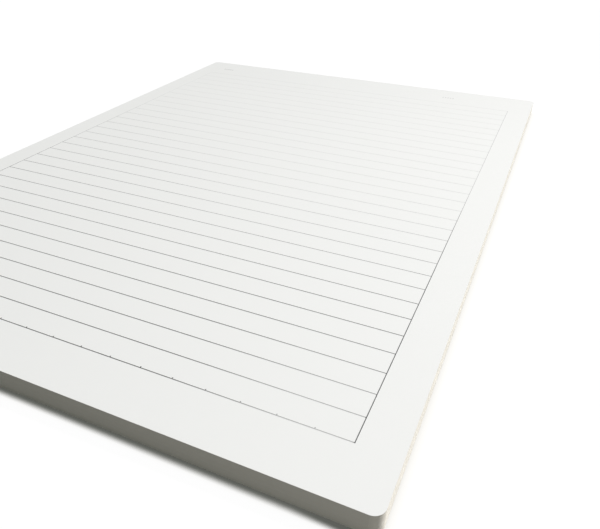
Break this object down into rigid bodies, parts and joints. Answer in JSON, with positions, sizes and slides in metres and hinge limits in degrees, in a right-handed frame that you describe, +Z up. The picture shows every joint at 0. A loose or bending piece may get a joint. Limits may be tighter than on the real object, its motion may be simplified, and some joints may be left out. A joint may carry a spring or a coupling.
{
  "type": "ruled paper pad",
  "caption": "Flat pad of white A4 paper with rounded corners, its top sheet printed with ruled lines inside a thin frame.",
  "frame": {"origin": "centre of the pad's underside, on the surface it lies on", "axes": "+X to the right of the page, +Y towards the head of the page, +Z up out of the ruled sheet"},
  "size_m": [0.21, 0.297, 0.0064],
  "materials": {
    "paper": "matte",
    "ink": "matte"
  },
  "bodies": {
    "root": {"paper_block": "paper", "printed_ruling": "ink"}
  },
  "joints": []
}
